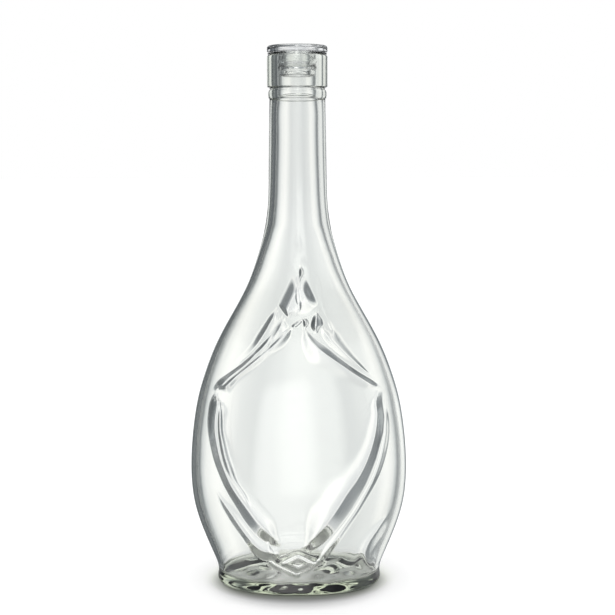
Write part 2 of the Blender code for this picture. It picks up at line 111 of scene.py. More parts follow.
# %% [markdown]
# ## Oval sections that become round
# Cut level, the belly is an oval a little fuller than an ellipse, 0.60 as deep as it is
# wide, and the neck is a circle. A superellipse covers both: |x/w|^p + |y/d|^p = 1, with
# the power p and the ratio d/w both easing to those of a circle on the way up.

# %% Sections
# Depth as a share of the width, and the power of the section.
FOOT_DEPTH = 0.66
BELLY_DEPTH = 0.60
BELLY_POWER = 2.3
CIRCLE_POWER = 2.0


def smoothstep(value):
    """Eases from 0 to 1: 3t^2 - 2t^3, with no slope at either end."""
    t = np.clip(value, 0.0, 1.0)
    return t * t * (3.0 - 2.0 * t)


def ovalness(z):
    """One in the belly, falling to none where the neck starts."""
    return 1.0 - smoothstep((z - BELLY_HEIGHT) / (NECK_START_HEIGHT - BELLY_HEIGHT))


def half_depth(z):
    """Half width times the share 0.66 at the foot, 0.60 in the belly and 1 in the neck."""
    lower = FOOT_DEPTH - (FOOT_DEPTH - BELLY_DEPTH) * smoothstep(z / BELLY_HEIGHT)
    return half_width(z) * (1.0 - (1.0 - lower) * ovalness(z))


def power(z):
    """Power of the section: 2.3 in the belly, and a circle's 2 in the neck."""
    return CIRCLE_POWER + (BELLY_POWER - CIRCLE_POWER) * ovalness(z)


deepest = half_depth(np.linspace(0.0, NECK_START_HEIGHT, 199)).max()
print("greatest half depth in mm:", round(float(deepest) / MM, 2),
      "in the model:", round(bottle_high.y / MM, 2))

# %% [markdown]
# ## Columns round the glass
# The front carries the relief, so it gets most of the columns, and they gather along the
# folds: where the wanted density is high, the running sum of density times length grows
# fast, and equal steps of that sum lie close together. The back is plain and takes few.

# %% Columns
FRONT_COLUMNS = 172
BACK_COLUMNS = 36
GATHER_WIDTH = 6.0 * MM
GATHER_GAIN = 3.2
# Heights where the gathering starts and ends, and how slowly.
GATHER_START, GATHER_RISE = 2.0 * MM, 9.0 * MM
GATHER_END, GATHER_FALL = 158.0 * MM, 20.0 * MM
# Height, and where the folds are at the left and right, in millimetres.
FOLD_PLACES = np.array([
    (8.0, -5.0, 5.0), (17.0, -6.0, 6.0), (22.0, -14.0, 9.0), (30.0, -21.0, 14.0),
    (44.0, -29.0, 25.0), (55.0, -34.0, 32.5), (67.0, -38.3, 37.8), (79.0, -40.5, 40.3),
    (88.0, -40.2, 40.6), (97.0, -38.4, 39.0), (102.0, -35.5, 36.3), (109.0, -28.8, 27.5),
    (115.0, -20.5, 19.0), (121.0, -14.5, 12.5), (127.0, -10.0, 8.5), (134.0, -7.5, 7.5),
    (145.0, -5.0, 5.5), (165.0, -4.0, 4.0),
]) * MM


def even_lengths():
    """Fine shares of the half width over the front, and the length that each stands for."""
    turn = np.linspace(-np.pi / 2, np.pi / 2, 1601)
    share = np.sign(np.sin(turn)) * np.abs(np.sin(turn)) ** (2.0 / BELLY_POWER)
    depth = BELLY_DEPTH * np.cos(turn) ** (2.0 / BELLY_POWER)
    return share, np.concatenate([[0.0], np.hypot(np.diff(share), np.diff(depth))])


FINE_SHARE, FINE_LENGTH = even_lengths()


def column_shares(z, on_outside):
    """Shares for every row: equal steps of the sum of (1 + gain (bell + bell)) length."""
    at = np.clip(z, FOLD_PLACES[0, 0], FOLD_PLACES[-1, 0])
    left = np.interp(at, FOLD_PLACES[:, 0], FOLD_PLACES[:, 1])
    right = np.interp(at, FOLD_PLACES[:, 0], FOLD_PLACES[:, 2])
    gain = GATHER_GAIN * on_outside * smoothstep((z - GATHER_START) / GATHER_RISE) \
        * (1.0 - smoothstep((z - GATHER_END) / GATHER_FALL))
    x = FINE_SHARE[None, :] * half_width(np.maximum(z, 0.0))[:, None]
    near = np.exp(-((x - left[:, None]) / GATHER_WIDTH) ** 2) \
        + np.exp(-((x - right[:, None]) / GATHER_WIDTH) ** 2)
    total = np.cumsum((1.0 + gain[:, None] * near) * FINE_LENGTH, axis=1)
    steps = np.linspace(0.0, 1.0, FRONT_COLUMNS + 1)
    front = np.stack([np.interp(steps * row[-1], row, FINE_SHARE) for row in total])[:, :-1]
    length = np.cumsum(FINE_LENGTH)
    back = np.interp(np.linspace(length[-1], 0.0, BACK_COLUMNS + 1), length, FINE_SHARE)[:-1]
    return np.concatenate([front, np.repeat(back[None, :], len(z), axis=0)], axis=1)


# Sign of y in each column: the front is at -Y.
FACES = np.concatenate([np.full(FRONT_COLUMNS, -1.0), np.full(BACK_COLUMNS, 1.0)])
print("columns:", len(FACES))


def on_sections(rows, shares):
    """Grid of points: a row for each section of width, depth, power and height. A point is
    x = w s and y = +d or -d times (1 - |s|^p)^(1/p)."""
    width, depth, power_of, z = (rows[:, k, None] for k in range(4))
    inside = np.clip(1.0 - np.abs(shares) ** power_of, 0.0, 1.0) ** (1.0 / power_of)
    return np.stack([width * shares, depth * FACES * inside, z + 0.0 * shares], axis=-1)


# %% [markdown]
# ## The relief: folds of a draped ribbon
# Light and dark lines cross the front where the glass rises and falls as cloth does along
# its folds. A fold here is a route over the front: across it the surface first falls, over
# the fold's width, and then comes back at a slope of its own, mostly a gentler one. The steep
# fall bends the dark side of the studio into view, and the gentle return stays light. The
# height is worked out for all points at once, and each moves along its normal by its height.

# %% Distance from a route
def smooth_route(places, count=160):
    """Even points along the natural spline through (x, z, ...) rows, by chord length."""
    places = np.asarray(places, float)
    chord = np.hypot(*np.diff(places[:, :2], axis=0).T)
    at = np.concatenate([[0.0], np.cumsum(chord)])
    curves = [natural_spline(at, places[:, k]) for k in range(places.shape[1])]
    even = np.linspace(0.0, at[-1], count)
    return np.stack([curve(even) for curve in curves], axis=1)


def from_route(x, z, route):
    """For each point: the distance beside the route, positive on its left hand, the
    distance past its nearer end, and the route's further values at the nearest place."""
    points = smooth_route(route)
    line = points[:, :2]
    tangent = np.gradient(line, axis=0)
    tangent /= np.linalg.norm(tangent, axis=1, keepdims=True)
    squared = (x[..., None] - line[:, 0]) ** 2 + (z[..., None] - line[:, 1]) ** 2
    near = squared.argmin(axis=-1)
    offset = np.stack([x, z], axis=-1) - line[near]
    ahead = (offset * tangent[near]).sum(axis=-1)
    side = tangent[near, 0] * offset[..., 1] - tangent[near, 1] * offset[..., 0]
    past = np.where(near == 0, -ahead, np.where(near == len(line) - 1, ahead, 0.0))
    return side, np.maximum(past, 0.0), points[near, 2:]


def bell(distance, width):
    """exp(-(distance / width)^2)"""
    return np.exp(-(distance / width) ** 2)


# %% [markdown]
# ## Routes on the front
# The places are in millimetres across and up, found in the photograph through the camera's
# own geometry, as are the widths. Every route runs downwards, so its left hand is the
# right-hand side of the picture. The ribbon hangs from a diamond under the neck, drapes
# over both shoulders, runs down both sides and is tied in a small knot over the foot. The
# two sides aren't mirror images, so each has its own routes.

# %% Folds
# Name: the slope of the fall, positive where it is towards the right of the picture, the
# slope of the way back, and the route's rows of x, z and width in millimetres, and strength.
FOLDS = {
    "side_left": (0.75, 0.22, [
        (-39.0, 96.7, 1.2, 0.2), (-39.8, 94.2, 1.8, 0.8), (-40.9, 88.9, 2.1, 1),
        (-41.4, 83.6, 2.0, 1), (-41.2, 78.5, 1.9, 1), (-40.2, 72.8, 1.9, 1),
        (-38.5, 65.9, 1.9, 1), (-36.1, 59.7, 2.0, 0.95), (-33.2, 53.5, 2.2, 0.9),
        (-29.7, 47.9, 2.6, 0.9), (-25.9, 42.2, 3.1, 0.9), (-21.8, 36.1, 3.6, 0.9),
        (-17.0, 31.2, 3.8, 0.7), (-12.6, 28.2, 3.0, 0.4), (-9.4, 26.9, 2.2, 0.1)]),
    "side_left_thin": (0.80, 0.22, [
        (-37.6, 93.3, 0.5, 0.2), (-38.0, 87.6, 0.8, 0.8), (-38.0, 80.5, 0.9, 1),
        (-37.3, 74.7, 1.2, 1), (-35.9, 67.7, 1.3, 1), (-33.5, 60.7, 1.3, 0.9),
        (-30.3, 55.1, 1.0, 0.7), (-27.1, 50.2, 1.0, 0.7), (-24.2, 45.7, 0.8, 0.3)]),
    "side_left_low": (0.85, 0.22, [
        (-38.5, 51.3, 0.4, 0.1), (-36.4, 46.3, 0.8, 0.5), (-33.5, 41.3, 1.1, 0.8),
        (-29.6, 35.2, 1.3, 0.9), (-25.5, 29.3, 1.4, 0.9), (-21.4, 23.6, 1.8, 1),
        (-18.2, 20.8, 2.2, 1), (-14.3, 19.7, 2.4, 0.9), (-11.1, 19.9, 2.0, 0.5)]),
    "side_right": (-0.46, 0.20, [
        (38.4, 96.8, 2.0, 0.3), (38.1, 93.9, 2.4, 0.6), (38.6, 90.0, 2.2, 0.9),
        (39.0, 84.8, 2.5, 1), (38.6, 79.1, 3.0, 1), (37.3, 73.4, 3.2, 1), (35.5, 67.1, 3.6, 1.1),
        (32.9, 60.8, 3.9, 1.25), (29.3, 54.6, 4.3, 1.4), (25.7, 49.6, 4.6, 1.5),
        (22.2, 43.9, 4.8, 1.55), (18.3, 38.0, 4.9, 1.6), (13.8, 32.7, 4.6, 1.3),
        (9.0, 28.0, 3.8, 0.8), (4.8, 24.9, 3.0, 0.2)]),
    "side_right_thin": (-0.48, 0.20, [
        (41.6, 88.7, 0.5, 0.2), (42.1, 84.2, 0.8, 0.7), (42.2, 79.0, 0.9, 0.9),
        (41.6, 73.3, 1.1, 1), (40.2, 67.0, 1.2, 1), (37.9, 60.1, 1.3, 1), (34.9, 53.9, 1.3, 0.9),
        (31.6, 48.3, 1.2, 0.9), (27.4, 41.4, 1.2, 0.9), (23.2, 35.3, 1.3, 0.9),
        (19.0, 28.9, 1.4, 0.9), (14.5, 23.1, 1.3, 0.8), (10.6, 17.8, 1.1, 0.5)]),
    "shoulder_left": (1.05, 0.22, [
        (-13.8, 125.3, 0.8, 0.3), (-16.4, 122.0, 0.9, 0.8), (-19.8, 118.3, 1.0, 1),
        (-24.3, 113.6, 1.0, 1), (-29.5, 109.2, 1.0, 1), (-34.2, 105.3, 1.2, 0.9),
        (-37.1, 102.4, 1.5, 0.7), (-38.4, 100.7, 1.3, 0.2)]),
    "shoulder_left_low": (1.45, 0.30, [
        (-2.6, 130.2, 1.0, 0.0), (-5.3, 128.3, 1.1, 0.5), (-8.5, 125.5, 1.0, 0.9),
        (-12.5, 121.6, 0.9, 0.95), (-18.1, 116.6, 0.8, 0.9), (-23.7, 111.9, 0.7, 0.9),
        (-30.1, 106.4, 0.7, 0.8), (-34.8, 102.1, 0.8, 0.6), (-36.1, 100.8, 0.6, 0.2)]),
    "pleat_left": (0.95, 0.22, [
        (-10.2, 137.4, 0.7, 0.4), (-11.6, 135.5, 1.1, 0.9), (-13.6, 132.5, 1.4, 1),
        (-15.8, 128.9, 1.6, 1), (-18.1, 125.3, 1.6, 0.9), (-20.3, 121.7, 1.5, 0.6),
        (-22.9, 118.5, 1.5, 0.3), (-26.6, 114.7, 1.5, 0.1)]),
    "pleat_left_inner": (1.25, 0.22, [
        (-7.4, 133.6, 0.9, 0.3), (-8.4, 131.6, 1.2, 0.9), (-10.1, 129.0, 1.5, 1),
        (-12.6, 125.7, 1.6, 0.9), (-15.4, 122.6, 1.6, 0.6), (-18.3, 119.8, 1.6, 0.2)]),
    "vein": (0.80, 0.30, [
        (0.4, 150.8, 0.6, 0.1), (-0.4, 147.8, 0.8, 0.35), (-0.9, 144.8, 0.9, 0.8),
        (-0.8, 142.4, 0.9, 0.9), (-0.0, 140.3, 0.8, 0.8), (0.4, 138.4, 0.6, 0.5),
        (-0.2, 136.5, 0.5, 0.1)]),
    "drop_right_edge": (0.66, 0.35, [
        (10.8, 130.4, 1.0, 0.0), (11.4, 128.0, 1.6, 0.4), (12.4, 126.0, 2.2, 0.8),
        (14.0, 123.8, 2.5, 1), (16.6, 121.0, 2.4, 0.9), (20.4, 117.3, 2.0, 0.8),
        (25.4, 112.8, 1.6, 0.6), (30.0, 108.9, 1.2, 0.4), (32.9, 106.8, 0.8, 0.1)]),
    "shoulder_right": (-1.05, 0.26, [
        (2.2, 132.0, 0.5, 0.0), (3.4, 129.6, 0.6, 0.3), (4.7, 127.4, 0.9, 0.8),
        (6.0, 125.7, 1.3, 1.0), (8.1, 123.6, 1.8, 1.1), (11.4, 120.9, 2.3, 1.15),
        (15.3, 117.7, 2.1, 1.1), (20.3, 113.7, 1.6, 1), (25.4, 109.8, 1.4, 1),
        (30.5, 106.1, 1.3, 0.9), (33.6, 103.9, 1.3, 0.7), (35.6, 102.4, 1.2, 0.4),
        (37.4, 101.1, 1.0, 0.1)]),
    "soft_right": (0.70, 0.30, [
        (13.3, 133.4, 0.6, 0.1), (14.4, 130.6, 0.8, 0.5), (15.9, 127.6, 0.8, 0.5),
        (17.8, 124.6, 0.6, 0.1)]),
    "drop": (1.30, 0.60, [
        (8.6, 136.4, 0.8, 0.1), (7.9, 134.6, 1.6, 0.8), (7.3, 132.4, 2.1, 1),
        (7.1, 130.2, 2.2, 1), (7.7, 128.2, 1.5, 0.6), (8.4, 126.8, 1.0, 0.1)]),
    "flame_top": (1.00, 1.20, [
        (1.1, 156.4, 0.8, 0.3), (1.2, 155.0, 1.2, 1), (1.1, 153.2, 1.1, 0.9),
        (0.7, 151.6, 0.8, 0.5)]),
    "arch": (1.20, 1.20, [
        (1.8, 133.4, 0.8, 0.2), (2.8, 132.6, 1.2, 0.9), (3.1, 131.2, 1.3, 1),
        (3.0, 129.6, 0.9, 0.2)]),
    "arch_left": (1.40, 1.20, [
        (2.0, 133.2, 0.8, 0.2), (0.8, 132.8, 1.0, 0.9), (-0.8, 131.8, 1.0, 1),
        (-2.2, 130.8, 1.0, 0.9), (-3.0, 130.1, 0.8, 0.1)]),
    "low_right": (-0.24, 0.16, [
        (42.6, 38.0, 1.5, 0.1), (40.9, 33.0, 2.6, 0.7), (38.6, 28.6, 3.2, 0.9),
        (35.6, 24.0, 3.4, 1), (33.8, 19.9, 3.2, 1), (33.6, 14.5, 2.6, 0.8),
        (34.3, 10.0, 1.5, 0.2)]),
}

# Power of the fall: over 1, it starts gently and ends steeply.
FALL_POWER = 1.15
# In millimetres: the depth that no fold reaches, the least width, and the fade past an end.
DEEPEST = 5.0
NARROWEST = 0.4
END_FADE = 2.5
# Every fold is cut this much broader than the dark line that it shows.
BROADER = 1.15


def folds(x, z):
    """Sum over the routes of -drop (t^c - u), with t the place across the fold from 0 to 1
    and u that across its return. The drop is slope times width, eased so that it stays
    under the deepest cut d: d (1 - exp(-drop / d)). The return is drop / return slope wide."""
    height = np.zeros_like(x)
    for slope, return_slope, route in FOLDS.values():
        side, past, values = from_route(x, z, route)
        side = math.copysign(1.0, slope) * side
        width = BROADER * np.maximum(values[..., 0], NARROWEST)
        drop = DEEPEST * (1.0 - np.exp(-abs(slope) * width * values[..., 1] / DEEPEST))
        drop = np.maximum(drop, 0.0)
        across = np.clip(side / width + 0.5, 0.0, 1.0)
        back = smoothstep((side - width / 2) * return_slope / np.maximum(drop, 0.1))
        height -= drop * (across ** FALL_POWER - back) * (1.0 - smoothstep(past / END_FADE))
    return height


print("folds:", len(FOLDS), "on", sum(len(route) for _, _, route in FOLDS.values()), "places")

# %% [markdown]
# The flame in the diamond is a sunk field with six sloping sides. The knot at the bottom is a
# lozenge with a raised rim, a sunk ground and a raised middle, and two shallow grooves run up
# from its lower corner towards the ribbon's ends.

# %% Flame, grooves and knot
# Height, half width, and the route's x and z, all in millimetres.
GROOVES = [
    (-0.6, 0.9, [(-13.1, 17.1), (-10.0, 15.0), (-5.7, 12.8), (-1.0, 10.4)]),
    (-0.6, 0.9, [(9.1, 17.7), (6.6, 15.1), (3.0, 12.9), (-1.0, 10.4)]),
]
# Sunk fields: depth, and corners of x and z, anticlockwise, each with the width of the
# sloping side that starts there.
FIELDS = {
    "flame": (2.9, [(-2.5, 153.2, 4.4), (-9.2, 139.6, 1.7), (-4.4, 133.8, 4.0),
                    (3.6, 134.6, 7.0), (9.7, 139.6, 3.7), (3.7, 152.4, 6.0)]),
}
KNOT = [(-0.3, 10.6, 1.0), (11.0, 16.7, 1.0), (-0.3, 23.2, 1.0), (-11.6, 16.7, 1.0)]
KNOT_MIDDLE = [(-0.3, 13.8, 2.0), (4.6, 16.9, 2.0), (-0.3, 20.2, 2.0), (-5.2, 16.9, 2.0)]
KNOT_RIM_HEIGHT = 0.38
KNOT_GROUND_DEPTH = 0.65
KNOT_MIDDLE_HEIGHT = 0.5


def ramp(value):
    """Rises from 0 to 1 with a nearly even slope: the mean of a line and a smoothstep."""
    return 0.5 * (np.clip(value, 0.0, 1.0) + smoothstep(value))


def grooves(x, z):
    """Sum of height times a bell across the route, fading past its ends."""
    height = np.zeros_like(x)
    for rise, width, route in GROOVES:
        side, past, _ = from_route(x, z, route)
        height += rise * bell(side, width) * bell(past, width)
    return height


def inside_polygon(x, z, corners, softness):
    """Share of the way down the sides of a convex field: a soft minimum of the distances d
    to its sides over their widths w, -k log(sum of exp(-d / (w k)))."""
    corners = np.asarray(corners, float)
    total = 0.0
    for start, end in zip(corners, np.roll(corners, -1, axis=0)):
        along = (end - start)[:2] / np.hypot(*(end - start)[:2])
        share = (along[0] * (z - start[1]) - along[1] * (x - start[0])) / start[2]
        total = total + np.exp(-np.clip(share, -20.0, 20.0) / softness)
    return -softness * np.log(total)


def fields(x, z):
    """Sum of minus depth times the share of the way down the sloping sides."""
    height = np.zeros_like(x)
    for depth, corners in FIELDS.values():
        height -= depth * ramp(inside_polygon(x, z, corners, 0.12))
    return height


def knot(x, z):
    """Lozenge: a bell over its rim, less a smoothstep to its ground, and one for its middle."""
    inward = inside_polygon(x, z, KNOT, 0.5) - 0.8
    middle = smoothstep(inside_polygon(x, z, KNOT_MIDDLE, 0.25))
    return KNOT_RIM_HEIGHT * bell(inward, 1.2) - KNOT_GROUND_DEPTH * smoothstep(inward / 2.2) \
        + KNOT_MIDDLE_HEIGHT * middle


def relief(x, z):
    """Height of the front's relief in metres at x and z in metres."""
    x, z = x / MM, z / MM
    return MM * (folds(x, z) + fields(x, z) + grooves(x, z) + knot(x, z))


print("relief in mm at x 0 and heights 17 and 143 mm:",
      np.round(relief(np.zeros(2), np.array([17.0, 143.0]) * MM) / MM, 2))


# %% [markdown]
# ## Rows from the foot's middle to the inside's floor
# One closed surface makes the whole bottle: it starts at the middle of the pushed-up
# underside, goes out over the flat bearing ring and the rounded heel, up the outside, over
# the bead, the groove and the band, across the lip, down the bore and the inside of the
# body, and ends in the middle of the floor. Each row is a section: its width, depth, power
# and height.

# %% Outside rows
HEEL_RADIUS = 2.5 * MM
RING_WIDTH = 5.0 * MM
PUSH_UP = 1.4 * MM
BAND_RADIUS = 14.1 * MM
BAND_BASE = LIP_HEIGHT - 14.7 * MM
GROOVE_RADIUS = 12.9 * MM
BEAD_TOP = BAND_BASE - 1.1 * MM
BEAD_RADIUS = 13.7 * MM
BORE_RADIUS = 9.4 * MM
EDGE_RADIUS = 0.6 * MM


def underside_rows():
    """Pushed-up middle z = h (1 - s^2)^2, flat ring, and the heel's quarter circle."""
    width, depth = float(half_width(0.0)), float(half_depth(0.0))
    hollow = HEEL_RADIUS + RING_WIDTH
    share = np.linspace(0.08, 1.0, 11)
    rows = [((width - hollow) * s, (depth - hollow) * s, PUSH_UP * (1 - s * s) ** 2)
            for s in share]
    rows += [(width - inset, depth - inset, 0.0)
             for inset in np.linspace(hollow, HEEL_RADIUS, 6)[1:]]
    for turn in np.linspace(0.0, np.pi / 2, 8)[1:]:
        z = HEEL_RADIUS * (1.0 - math.cos(turn))
        inset = HEEL_RADIUS * (1.0 - math.sin(turn))
        rows.append((float(half_width(z)) - inset, float(half_depth(z)) - inset, z))
    return np.array([(w, d, BELLY_POWER, z) for w, d, z in rows])


def spaced(*parts):
    """Heights through (from, to, step) parts in millimetres, without the last end."""
    return np.concatenate([np.linspace(low, high, round((high - low) / step), endpoint=False)
                           for low, high, step in parts]) * MM


def body_rows():
    """From the foot to the bead, closest over the flame, where the relief is finest."""
    z = spaced((3.2, 9.0, 0.8), (9.0, 30.0, 0.5), (30.0, 94.0, 0.9), (94.0, 126.0, 0.40),
               (126.0, 158.0, 0.33), (158.0, 232.7, 3.6), (232.7, 233.7, 0.25))
    return np.stack([half_width(z), half_depth(z), power(z), z], axis=1)


def rounded(corner_r, corner_z, radius, start, stop, steps=5):
    """Points on a quarter circle about a corner's centre, between two angles in degrees."""
    turn = np.radians(np.linspace(start, stop, steps))
    return np.stack([corner_r + radius * np.cos(turn), corner_z + radius * np.sin(turn)], 1)


def mouth_rows():
    """Bead, groove, band and lip as (radius, height), then down the bore."""
    turn = np.linspace(0.0, np.pi, 13)[:-1]
    middle, half = (BODY_HEIGHT + BEAD_TOP) / 2, (BEAD_TOP - BODY_HEIGHT) / 2
    bead = np.stack([NECK_RADIUS + (BEAD_RADIUS - NECK_RADIUS) * np.sin(turn),
                     middle - half * np.cos(turn)], axis=1)
    groove = np.array([(GROOVE_RADIUS, BEAD_TOP), (GROOVE_RADIUS, BAND_BASE - 0.5 * MM)])
    edge = EDGE_RADIUS
    outline = np.concatenate([
        bead, groove,
        rounded(BAND_RADIUS - edge, BAND_BASE + edge, edge, -90, 0),
        np.array([(BAND_RADIUS, z) for z in np.linspace(BAND_BASE + 1.5 * MM,
                                                        LIP_HEIGHT - 1.5 * MM, 7)]),
        rounded(BAND_RADIUS - edge, LIP_HEIGHT - edge, edge, 0, 90),
        np.array([(11.8 * MM, LIP_HEIGHT)]),
        rounded(BORE_RADIUS + edge, LIP_HEIGHT - edge, edge, 90, 180),
    ])
    return np.stack([outline[:, 0], outline[:, 0], np.full(len(outline), CIRCLE_POWER),
                     outline[:, 1]], axis=1)


print("rows outside:", len(underside_rows()), len(body_rows()), len(mouth_rows()))


# %% [markdown]
# The inside is blown, not pressed, so it is smooth: it follows the outside at the wall's
# thickness and closes in a bowl. At the share u of the bowl's depth, a section has shrunk
# by the factor (1 - u^7)^(1/2), so the wall runs into the floor without an edge. Glass
# settles unevenly in the foot, so the floor has a few shallow waves.

# %% Inside rows
FLOOR_HEIGHT = 3.2 * MM
BOWL_RIM = 9.5 * MM
BOWL_POWER = 7.0
# Down to this share of the bowl's depth its rows are even in depth, then in width.
BOWL_TURN = 0.75
WALL = 3.0 * MM
# The bore narrows towards the mouth between these heights.
NECK_BORE = 10.2 * MM
BORE_EASE_START, BORE_EASE = 226.0 * MM, 14.0 * MM
# The body's inside becomes the neck's bore over this height.
NECK_EASE_START, NECK_EASE = 190.0 * MM, 40.0 * MM
# The carved front is thicker than the back, so the inside lies a little behind the middle,
# and most of all behind the flame.
INSIDE_SHIFT = 0.6 * MM
FLAME_SHIFT = 0.5 * MM
FLAME_HEIGHT = 143.0 * MM
FLAME_REACH = 22.0 * MM


def bore(z):
    """Radius of the bore: a little narrower in the mouth than in the neck."""
    mouth = smoothstep((z - BORE_EASE_START) / BORE_EASE)
    return NECK_BORE + (BORE_RADIUS - NECK_BORE) * mouth


def inside_shift(z):
    """How far the inside lies behind the axis."""
    return INSIDE_SHIFT * ovalness(z) + FLAME_SHIFT * bell(z - FLAME_HEIGHT, FLAME_REACH)


def inside_rows():
    """From under the lip to the floor. Where the glass leans, the level wall is thicker by
    (1 + lean^2)^(1/2)."""
    bowl = np.linspace(0.0, BOWL_TURN, 14)
    shrink = np.linspace((1.0 - bowl[-1] ** BOWL_POWER) ** 0.5, 0.04, 26)[1:]
    bowl = np.concatenate([bowl, (1.0 - shrink ** 2) ** (1.0 / BOWL_POWER)])
    z = np.concatenate([np.linspace(LIP_HEIGHT - 4 * MM, 200 * MM, 18, endpoint=False),
                        np.linspace(200 * MM, BOWL_RIM, 36, endpoint=False),
                        BOWL_RIM - (BOWL_RIM - FLOOR_HEIGHT) * bowl])
    shrink = (1.0 - np.concatenate([np.zeros(len(z) - len(bowl)), bowl]) ** BOWL_POWER) ** 0.5
    lean = (half_width(z + 1e-5) - half_width(z - 1e-5)) / 2e-5
    thick = WALL * np.sqrt(1.0 + lean ** 2)
    deep = (WALL + inside_shift(z)) * np.sqrt(1.0 + lean ** 2)
    high = smoothstep((z - NECK_EASE_START) / NECK_EASE)
    width = bore(z) + (1.0 - high) * np.maximum(half_width(z) - thick - bore(z), 0.0)
    depth = bore(z) + (1.0 - high) * np.maximum(half_depth(z) - deep - bore(z), 0.0)
    return np.stack([width * shrink, depth * shrink, power(z), z], axis=1)


def floor_waves(points):
    """Heights of a few crossing sine waves, fading out where the bowl becomes the wall."""
    x, y, z = (points[..., k] / MM for k in range(3))
    waves = 0.32 * np.sin(x / 3.4 + 0.9 * np.sin(y / 5.0)) * np.cos(y / 3.1 + 0.6) \
        + 0.22 * np.sin(x / 1.9 - y / 2.6 + 2.0) + 0.15 * np.sin(x / 7.5 + 1.0)
    return MM * waves * smoothstep((9.0 - z) / 4.0)


print("rows inside:", len(inside_rows()))


# %% [markdown]
# The grid becomes a mesh of four-sided faces. The two ends are closed with a fan of
# triangles round one point each, so the glass is a tight volume that light can enter and
# leave. The arrays go into the mesh whole, which is much faster than face by face.

# %% A mesh from a grid
def grid_mesh(name, points, first_pole=None, last_pole=None, closed_rows=False):
    """Closed round its columns. Rows end in poles, or join up with closed_rows."""
    rows, columns = points.shape[:2]
    vertices = points.reshape(-1, 3)
    low = np.arange(rows if closed_rows else rows - 1)[:, None] * columns
    high = (low + columns) % (rows * columns)
    column = np.arange(columns)[None, :]
    after = (column + 1) % columns
    quads = np.stack([low + column, low + after, high + after, high + column], -1)
    loops, sizes = [quads.reshape(-1)], [np.full(quads.shape[0] * columns, 4)]
    column, after = column[0], after[0]
    for pole, start, flip in ((first_pole, 0, True), (last_pole, (rows - 1) * columns, False)):
        if pole is not None:
            tip = np.full(columns, len(vertices))
            vertices = np.concatenate([vertices, [pole]])
            pair = (after, column) if flip else (column, after)
            loops.append(np.stack([tip, start + pair[0], start + pair[1]], 1).reshape(-1))
            sizes.append(np.full(columns, 3))
    loops, sizes = np.concatenate(loops), np.concatenate(sizes)
    mesh = bpy.data.meshes.new(name)
    mesh.vertices.add(len(vertices))
    mesh.vertices.foreach_set("co", vertices.astype(np.float32).reshape(-1))
    mesh.loops.add(len(loops))
    mesh.loops.foreach_set("vertex_index", loops.astype(np.int32))
    mesh.polygons.add(len(sizes))
    starts = np.concatenate([[0], np.cumsum(sizes)[:-1]])
    mesh.polygons.foreach_set("loop_start", starts.astype(np.int32))
    mesh.polygons.foreach_set("use_smooth", np.ones(len(sizes), bool))
    mesh.update(calc_edges=True)
    mesh.validate()
    return mesh


def add_piece(name, mesh, body, replaced, material):
    """Object at the origin that rides on a body and stands for a node of the model."""
    piece = bpy.data.objects.new(name, mesh)
    bpy.context.scene.collection.objects.link(piece)
    mesh.materials.append(material)
    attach(piece, body)
    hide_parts(replaced)
    print(name, "has", len(mesh.loops) - 2 * len(mesh.polygons), "triangles")


# %% [markdown]
# Rows and columns now meet in one grid. The relief is added to the front's points only, along
# the surface's own normals, and it fades out before the seams between front and back.

# %% Bottle surface
RELIEF_LOW, RELIEF_HIGH = 7.0 * MM, 170.0 * MM
# Share of the half width where the relief ends, and how slowly.
SEAM_SHARE, SEAM_FADE = 0.985, 0.06


def grid_normals(points):
    """Unit cross product of the way along a row and the way to the next row."""
    along = np.roll(points, -1, axis=1) - np.roll(points, 1, axis=1)
    up = np.gradient(points, axis=0)
    normal = np.cross(along, up)
    return normal / np.maximum(np.linalg.norm(normal, axis=-1, keepdims=True), 1e-12)


def bottle_points():
    """The whole grid: outside and inside sections, floor waves and relief."""
    outside = np.concatenate([underside_rows(), body_rows(), mouth_rows()])
    rows = np.concatenate([outside, inside_rows()])
    on_outside = np.arange(len(rows)) < len(outside)
    shares = column_shares(rows[:, 3], on_outside)
    points = on_sections(rows, shares)
    inside = points[~on_outside]
    inside[..., 1] += inside_shift(rows[~on_outside, 3])[:, None]
    inside[..., 2] += floor_waves(inside)
    points[~on_outside] = inside
    carved = np.where(on_outside & (rows[:, 3] > RELIEF_LOW) & (rows[:, 3] < RELIEF_HIGH))[0]
    carved = slice(carved[0], carved[-1] + 1)
    front = slice(1, FRONT_COLUMNS)
    block = points[carved, front]
    height = relief(block[..., 0], block[..., 2])
    edge = smoothstep((SEAM_SHARE - np.abs(shares[carved, front])) / SEAM_FADE)
    normal = grid_normals(points)[carved, front]
    points[carved, front] = block + normal * (height * edge)[..., None]
    print("bottle rows:", len(rows), "relief from", round(float(height.min()) / MM, 2),
          "to", round(float(height.max()) / MM, 2), "mm")
    return points


# %% [markdown]
# ## Glass
# Clear glass lets all light in and out by its two surfaces, so the Principled shader's
# transmission is full and its roughness near none. The faint green comes from iron in the
# glass and shows only where it is thick, so it is an absorption in the volume. A mould
# leaves glass very slightly uneven: a node group gives broad waves and a mask of marks from
# handling, and each material takes them at its own strength.

# %% Shared waves of moulded glass
def add_node(tree, kind, place, **values):
    """New node with its properties set, and its inputs where a name starts with in_."""
    node = tree.nodes.new(kind)
    node.location = place
    for name, value in values.items():
        if name.startswith("in_"):
            node.inputs[name[3:].replace("_", " ")].default_value = value
        else:
            setattr(node, name, value)
    return node


